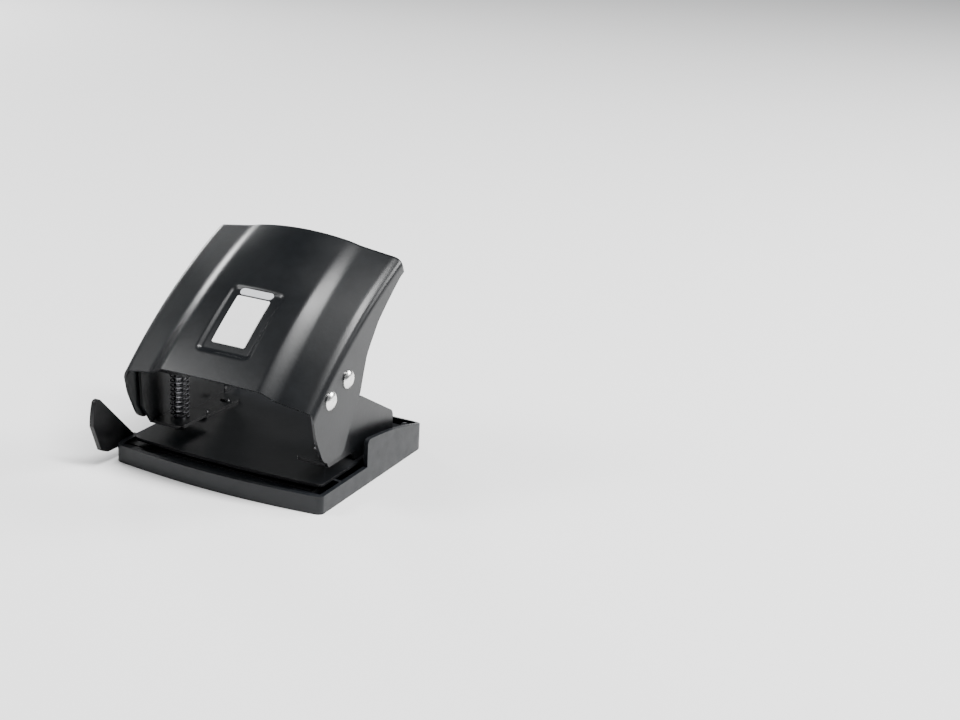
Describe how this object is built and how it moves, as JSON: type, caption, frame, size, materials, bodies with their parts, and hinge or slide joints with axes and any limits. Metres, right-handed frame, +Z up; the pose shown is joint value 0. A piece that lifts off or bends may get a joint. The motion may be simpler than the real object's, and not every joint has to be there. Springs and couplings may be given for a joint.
{
  "type": "hole punch",
  "caption": "Desk paper punch with a pressed steel lever over a steel plate, spring-loaded punches, a sliding paper guide and a tray for the chips.",
  "frame": {"origin": "midway between the two punch axes, on the plane that the tray stands on", "axes": "+Z up, +X to the right of the person feeding the paper, +Y away from that person, from the paper slot to the raised end of the lever"},
  "size_m": [0.1166, 0.1085, 0.1068],
  "materials": {
    "tray_plastic": "fine-textured black moulding",
    "guide_plastic": "satin black moulding",
    "black_steel": "satin black paint on pressed steel",
    "black_lacquer": "semi-gloss black paint on pressed steel",
    "nickel": "bright nickel plating",
    "plain_steel": "zinc-plated steel",
    "ground_steel": "ground tool steel",
    "spring_steel": "black-phosphated spring steel",
    "label_white": "glossy white film",
    "label_grey": "glossy grey film"
  },
  "bodies": {
    "tray": {"chip_tray": "tray_plastic"},
    "chassis": {"base_plate": "black_steel", "frame_left": "black_steel", "frame_right": "black_steel", "frame_rivets": "black_steel", "pivot_washers": "plain_steel"},
    "lever_body": {"lever": "black_lacquer", "pivot_shaft": "nickel", "pivot_cap": "nickel", "press_bar": "nickel", "press_bar_cap": "nickel", "label_plate": "label_white", "label_strip": "label_grey"},
    "punch_body_left": {"punch_left": "ground_steel", "clip_left": "spring_steel", "spring_left": "spring_steel"},
    "punch_body_right": {"punch_right": "ground_steel", "clip_right": "spring_steel", "spring_right": "spring_steel"},
    "guide": {"paper_guide": "guide_plastic"}
  },
  "joints": [
    {"name": "tray_hinge", "type": "hinge", "parent": "tray", "child": "chassis", "pos_m": [0, 0.0582, 0.0066], "axis": [-1, 0, 0], "range_deg": [0, 50]},
    {"name": "lever_pivot", "type": "hinge", "parent": "chassis", "child": "lever_body", "pos_m": [0, -0.0139, 0.0485], "axis": [-1, 0, 0], "range_deg": [0, 27.5], "stiffness_Nm_per_rad": 0.6, "springref_deg": -28.65},
    {"name": "punch_slide_left", "type": "slide", "parent": "chassis", "child": "punch_body_left", "axis": [0, 0, -1], "range_m": [0, 0.00744], "deforming": ["spring_left"]},
    {"name": "punch_slide_right", "type": "slide", "parent": "chassis", "child": "punch_body_right", "axis": [0, 0, -1], "range_m": [0, 0.00744], "deforming": ["spring_right"]},
    {"name": "guide_slide", "type": "slide", "parent": "tray", "child": "guide", "axis": [-1, 0, 0], "range_m": [0, 0.09]}
  ],
  "couplings": [
    {"joint": "punch_slide_left", "follows": "lever_pivot", "m_per_rad": 0.01548},
    {"joint": "punch_slide_right", "follows": "lever_pivot", "m_per_rad": 0.01548}
  ]
}
